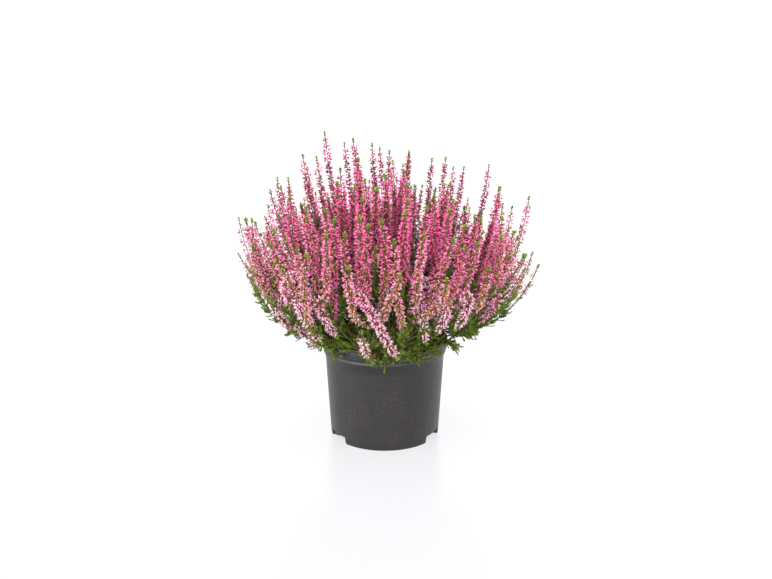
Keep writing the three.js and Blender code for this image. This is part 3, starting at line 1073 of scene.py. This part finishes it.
frontTips = [
    (215, 138, 215), (219, 137, 216), (222, 138, 214), (226, 135, 219), (218, 118, 238), (223, 114, 241),
    (232, 121, 235), (232, 133, 221), (231, 140, 199), (221, 140, 195), (244, 133, 221), (242, 140, 198),
    (250, 108, 246), (257, 90, 264), (258, 110, 244), (262, 106, 248), (267, 113, 242), (270, 104, 252),
    (274, 94, 262), (262, 122, 235), (250, 130, 227), (254, 134, 220), (265, 136, 217), (269, 134, 220),
    (258, 138, 211), (273, 138, 206), (252, 138, 209), (245, 139, 194), (279, 109, 245), (278, 123, 234),
    (277, 130, 226), (288, 120, 236), (297, 110, 244), (295, 125, 233), (292, 130, 227), (296, 137, 215),
    (303, 135, 219), (313, 135, 219), (311, 139, 205), (317, 139, 207), (303, 138, 210), (292, 138, 206),
    (301, 138, 201), (296, 137, 198), (282, 138, 210), (323, 117, 240), (334, 124, 202), (236, 141, 180),
    (326, 124, 207), (0, 130, 174), (350, 128, 158), (10, 126, 165), (340, 130, 180), (345, 122, 195),
    (335, 133, 170), (267, 120, 198), (266, 104, 188), (259, 137, 186), (275, 137, 180), (290, 138, 176),
    (306, 138, 182), (320, 137, 190),
]
sideLook = {
    "backCount": 138,
    "innerCount": 112,
    "innerReach": 96,
    "innerDrop": 44,  # how far below the plant's top their tips may be
    "candidates": 10,
    "backBearings": (-30, 205),
    "backHeights": (158, 254),
    "dome": ([150, 185, 213, 232, 245, 262, 272, 285], [128, 138, 137, 126, 108, 92, 76, 50]),
    "top": ([0, 30, 60, 95], [238, 238, 234, 226]),  # height over the middle, by reach
    "rootReach": (7, 0.21),  # plus this share of the tip's reach
    "rootHeight": (103, -0.05),
    "widest": 140,
    "inner": (0.6, 0.42),  # where an inner stem bends, as a share of its reach and of its rise
    "outer": (0.88, 0.1),
    "shoulders": ([0, 50, 90, 115, 135], [246, 237, 216, 194, 180]),  # highest spread tips, by place sideways
    "stray": 5.5,  # how far a side spike bows out of line
    "leaves": (0.2, 0.42),  # share of its length at which a side spike leaves its main stem
    "seed": 21,
}
# Spikes that hang over the edge: the highest point, the tip and how much of it flowers
hangingSpikes = [
    [(-24, -120, 166), (11, -90, 100), 90], [(-18, -106, 128), (-14, -90, 101), 26],
    [(-75, -66, 130), (-57, -50, 95), 60], [(-65, -105, 157), (-52, -84, 112), 60],
    [(-50, -106, 152), (-39, -84, 117), 60], [(-74, -104, 172), (-69, -84, 133), 60],
    [(20, -107, 178), (35, -85, 111), 70], [(33, -106, 168), (43, -84, 126), 60],
    [(50, -105, 157), (43, -84, 119), 40], [(64, -103, 157), (59, -83, 123), 50],
    [(-88, -84, 148), (-78, -70, 116), 50], [(92, -78, 150), (80, -62, 122), 50],
    [(96, 42, 150), (84, 36, 118), 50], [(-94, 30, 152), (-84, 28, 116), 50],
    [(-30, 104, 150), (-26, 86, 112), 50], [(40, 104, 154), (34, 86, 114), 50],
]
# Shoots without flowers that fill the plant's skirt
greenLook = {
    "count": 215,
    "turn": 137.5,  # degrees from each to the next
    "height": (104, 172),
    "reach": ([100, 112, 130, 156], [86, 99, 111, 116]),
    "innerCount": 92,
    "innerHeight": (104, 172),
    "innerReach": 84,
    "sprigs": 12,
    "innerSprigs": 8,
    # tips of those that lean over the rim, by bearing, reach and height
    "rim": [(222, 66, 93), (229, 69, 90), (262, 68, 92), (268, 70, 88), (276, 70, 90), (284, 70, 91),
            (296, 70, 90), (305, 69, 88), (312, 70, 94), (318, 68, 92), (328, 68, 94), (200, 66, 95),
            (80, 66, 94), (30, 67, 93)],
    # and of some that reach the outside among the flowers
    "outer": [(206, 127, 168), (213, 130, 160), (219, 131, 174), (225, 130, 156), (198, 122, 152),
              (231, 128, 148), (330, 128, 152), (322, 127, 146), (240, 126, 142), (345, 124, 148)],
    "stem": (0.7, 0.3),  # radius at its foot and tip
    "leaves": {"spread": 40, "length": 2.0, "width": 1.2, "radius": 0.3},
    "leavesFrom": 0.55,  # share of its length
    "inside": 0.5,  # depth from which a shoot has the fewer sprigs
    # sprigs on the flowering stems themselves: how many, from and to as shares of the length, and their scale
    "ownSprigs": {
        "outer": (20, 0.3, 0.6, 1.0),
        "inner": (30, 0.1, 0.64, 1.8),
    },
    "outerReach": 120,
}


# Where a stem of its own would run to a tip given by bearing, reach and height. Sag lowers its bend.
def stemLine(tip, sag=0.0):
    look = sideLook
    bearing, reach, height = tip
    lean = reach / look["widest"]
    rootHeight = look["rootHeight"][0] + look["rootHeight"][1] * reach
    root = polar(bearing, look["rootReach"][0] + look["rootReach"][1] * reach, rootHeight)
    bendReach = reach * lerp(look["inner"][0], look["outer"][0], lean)
    bendHeight = lerp(rootHeight, height, lerp(look["inner"][1], look["outer"][1], lean) - sag)
    return curve(root, polar(bearing, bendReach, bendHeight), polar(*tip), alongLine)


# Tips spread over the back and the middle, each as far as it can be from those already there.
def spreadTips(mainTips):
    look = sideLook
    dice = np.random.default_rng(look["seed"])
    taken = list(mainTips) + [polar(*tip) for tip in frontTips]
    found = []
    for k in range(look["innerCount"] + look["backCount"]):
        best, bestGap = None, -1
        for _ in range(look["candidates"]):
            if k < look["innerCount"]:
                reach = look["innerReach"] * dice.uniform(0, 1) ** 0.6
                height = np.interp(reach, *look["top"]) - dice.uniform(0, look["innerDrop"])
                tip = (dice.uniform(0, 360), reach, height)
            else:
                height = lerp(*look["backHeights"], dice.beta(1.6, 1.3))
                reach = np.interp(height, *look["dome"]) * math.sqrt(dice.uniform(0.6, 1))
                tip = (dice.uniform(*look["backBearings"]), reach, height)
            place = polar(*tip)
            gap = min(np.linalg.norm((place - other) * [1, 1, 0.5]) for other in taken)
            if gap > bestGap and height < np.interp(abs(place[0]), *look["shoulders"]):
                best, bestGap = tip, gap
        if best:
            found.append(best)
            taken.append(polar(*best))
    return found


# A side spike leaves the main stem nearest to it and runs as a stem of its own would.
def sideLine(tip, mainPaths, dice):
    own = stemLine(tip, dice.uniform(-0.4, 0.1) * (tip[1] > 100))
    stray = dice.normal(size=3) * [1, 1, 0] * sideLook["stray"]
    own = own + np.sin(np.pi * alongLine) * stray
    gaps = [np.linalg.norm(path.points[10:] - own[10:], axis=1).mean() for path in mainPaths]
    owner = int(np.argmin(gaps))
    first = int(linePoints * dice.uniform(*sideLook["leaves"]))
    main = mainPaths[owner].points[first:]
    away = (1 - np.linspace(0, 1, len(main))[:, None]) ** 3
    return owner, own[first:] + (main - own[first:]) * away


petals = petalMaterial()
foliage = foliageMaterial()


def dressShoot(greens, path, dice, young, sprigs):
    share = np.linspace(0, 1, 8)
    centres = path.at(share * path.length)
    tubes(greens, centres[None], lerp(*greenLook["stem"], share)[None], path.across[None], 3, {
        "wood": lerp(0.9, 0.3, share), "tint": 0.5, "deep": depthInside(centres),
    })
    first = greenLook["leavesFrom"] * path.length
    places = np.arange(first, path.length, spikeLook["leafGap"])
    leafPairs(greens, path, places, dice, greenLook["leaves"], {"young": young})
    growSprigs(greens, path, first, path.length - 2, sprigs, dice, young=young)


# Side spikes, hanging spikes and green shoots, each as one list for every main stem.
def sidePaths(mains, dice):
    found = [[] for _ in flowerNodes]
    tips = frontTips + spreadTips([path.points[-1] for path in mains])
    for k, tip in enumerate(tips):
        owner, line = sideLine(tip, mains, dice)
        found[owner].append(Path(line, 1.3, 2.3 * k))
    return found


def hangingPaths(mains):
    found = [[] for _ in flowerNodes]
    for top, tip, flowering in hangingSpikes:
        top, tip = np.array(top), np.array(tip)
        inner = top * [0.5, 0.5, 0.82]
        gaps = [np.linalg.norm(path.points - inner, axis=1) for path in mains]
        owner = int(np.argmin([gap.min() for gap in gaps]))
        start = mains[owner].points[np.argmin(gaps[owner])]
        line = curve(start, 2 * top - (start + tip) / 2, tip, alongLine)
        found[owner].append((Path(line, 1.2, top[0]), flowering))
    return found


def greenPaths(mains, dice):
    look = greenLook
    found = [[] for _ in flowerNodes]
    for k in range(look["count"] + look["innerCount"]):
        if k < look["count"]:
            height = dice.uniform(*look["height"])
            reach = np.interp(height, *look["reach"]) * dice.uniform(0.82, 1)
        else:
            height = dice.uniform(*look["innerHeight"])
            reach = look["innerReach"] * math.sqrt(dice.uniform(0, 1))
        owner, line = sideLine((look["turn"] * k, reach, height), mains, dice)
        found[owner].append(Path(line, 1.0, 1.9 * k))
    for tip in look["rim"] + look["outer"]:
        owner, line = sideLine(tip, mains, dice)
        found[owner].append(Path(line, 1.0, tip[0]))
    return found


def makeFlowerStems(lines):
    look = spikeLook
    dice = np.random.default_rng(sideLook["seed"])
    mains = [Path(curve(*lines[node], alongLine), 1.2, 1.7 * i) for i, node in enumerate(flowerNodes)]
    sides = sidePaths(mains, dice)
    hanging = hangingPaths(mains)
    shoots = greenPaths(mains, dice)
    total = 0
    for i, node in enumerate(flowerNodes):
        dice = np.random.default_rng(look["seed"] + i)
        flowers = Pile(["along", "pale", "tint", "deep"])
        greens = Pile(greenMarks)
        for spike in [mains[i]] + sides[i]:
            pale = np.interp(spike.points[-1][2], *look["paleByTip"]) + dice.normal() * 0.09
            dressSpike(flowers, greens, spike, pale, dice)
        for spike, flowering in hanging[i]:
            dressSpike(flowers, greens, spike, look["hangingPale"] + dice.normal() * 0.12, dice, flowering)
        for shoot in shoots[i]:
            inside = depthInside(shoot.points[-1:])[0] > greenLook["inside"]
            dressShoot(greens, shoot, dice, 0.1, greenLook["innerSprigs" if inside else "sprigs"])
        x, y, _ = mains[i].points[-1]
        kind = "outer" if math.hypot(x, y) > greenLook["outerReach"] else "inner"
        count, low, high, scale = greenLook["ownSprigs"][kind]
        length = mains[i].length
        growSprigs(greens, mains[i], low * length, high * length, count, dice, scale=scale)
        flowers.make("stem_" + node[-2:] + "_flowers", petals, node)
        greens.make("stem_" + node[-2:], foliage, node, smooth=False)
        total += flowers.triangles() + greens.triangles()
    print("flowering stems", total)


def makeLeafyShoots(lines):
    total = 0
    for i, node in enumerate(leafyNodes):
        dice = np.random.default_rng(sprigLook["seed"] + i)
        path = Path(curve(*lines[node], sprigLook["leafyShare"] * alongLine), 1.0, 1.3 * i)
        greens = Pile(greenMarks)
        dressShoot(greens, path, dice, 0.15, greenLook["sprigs"])
        growSprigs(greens, path, 0.3 * path.length, path.length - 2, sprigLook["leafyCount"], dice, 0.7, 0.15)
        greens.make("leafy_" + node[-2:], foliage, node, smooth=False)
        total += greens.triangles()
    print("leafy shoots", total)


def makeStage():
    mesh = bpy.data.meshes.new("studio_floor")
    half = studio["floorSize"] / 2 * mm
    corners = [(-half, -half, 0), (half, -half, 0), (half, half, 0), (-half, half, 0)]
    mesh.from_pydata(corners, [], [(0, 1, 2, 3)])
    mesh.materials.append(floorMaterial())
    newObject("studio_floor", mesh)
    room = Shader(bpy.data.worlds.new("room"))
    direction = room.add("ShaderNodeTexCoord", {}, {}, "Generated")
    vectors = {0: direction, 1: studio["shadeToward"]}
    toward = room.add("ShaderNodeVectorMath", {"operation": "DOT_PRODUCT"}, vectors, "Value")
    unlit = room.remap(toward, *studio["shadeFrom"])
    seen = room.add("ShaderNodeLightPath", {}, {}, "Is Camera Ray")
    strength = studio["backdrop"] - (studio["backdrop"] - studio["shade"]) * unlit * (1 - seen)
    light = room.add("ShaderNodeBackground", {}, {"Strength": strength}, "Background")
    room.add("ShaderNodeOutputWorld", {}, {"Surface": light})
    bpy.context.scene.world = room.owner
    bpy.context.scene.view_settings.view_transform = "Standard"
    for name, lamp in studio["lamps"].items():
        addLamp(name, lamp)


addCamera()
makeStage()
print("studio ready")

lines = {node: centreline(node) for node in flowerNodes + leafyNodes}
makePot()
makeCompost()
makeWoodyBase(list(lines.values()))
makeFlowerStems(lines)
makeLeafyShoots(lines)
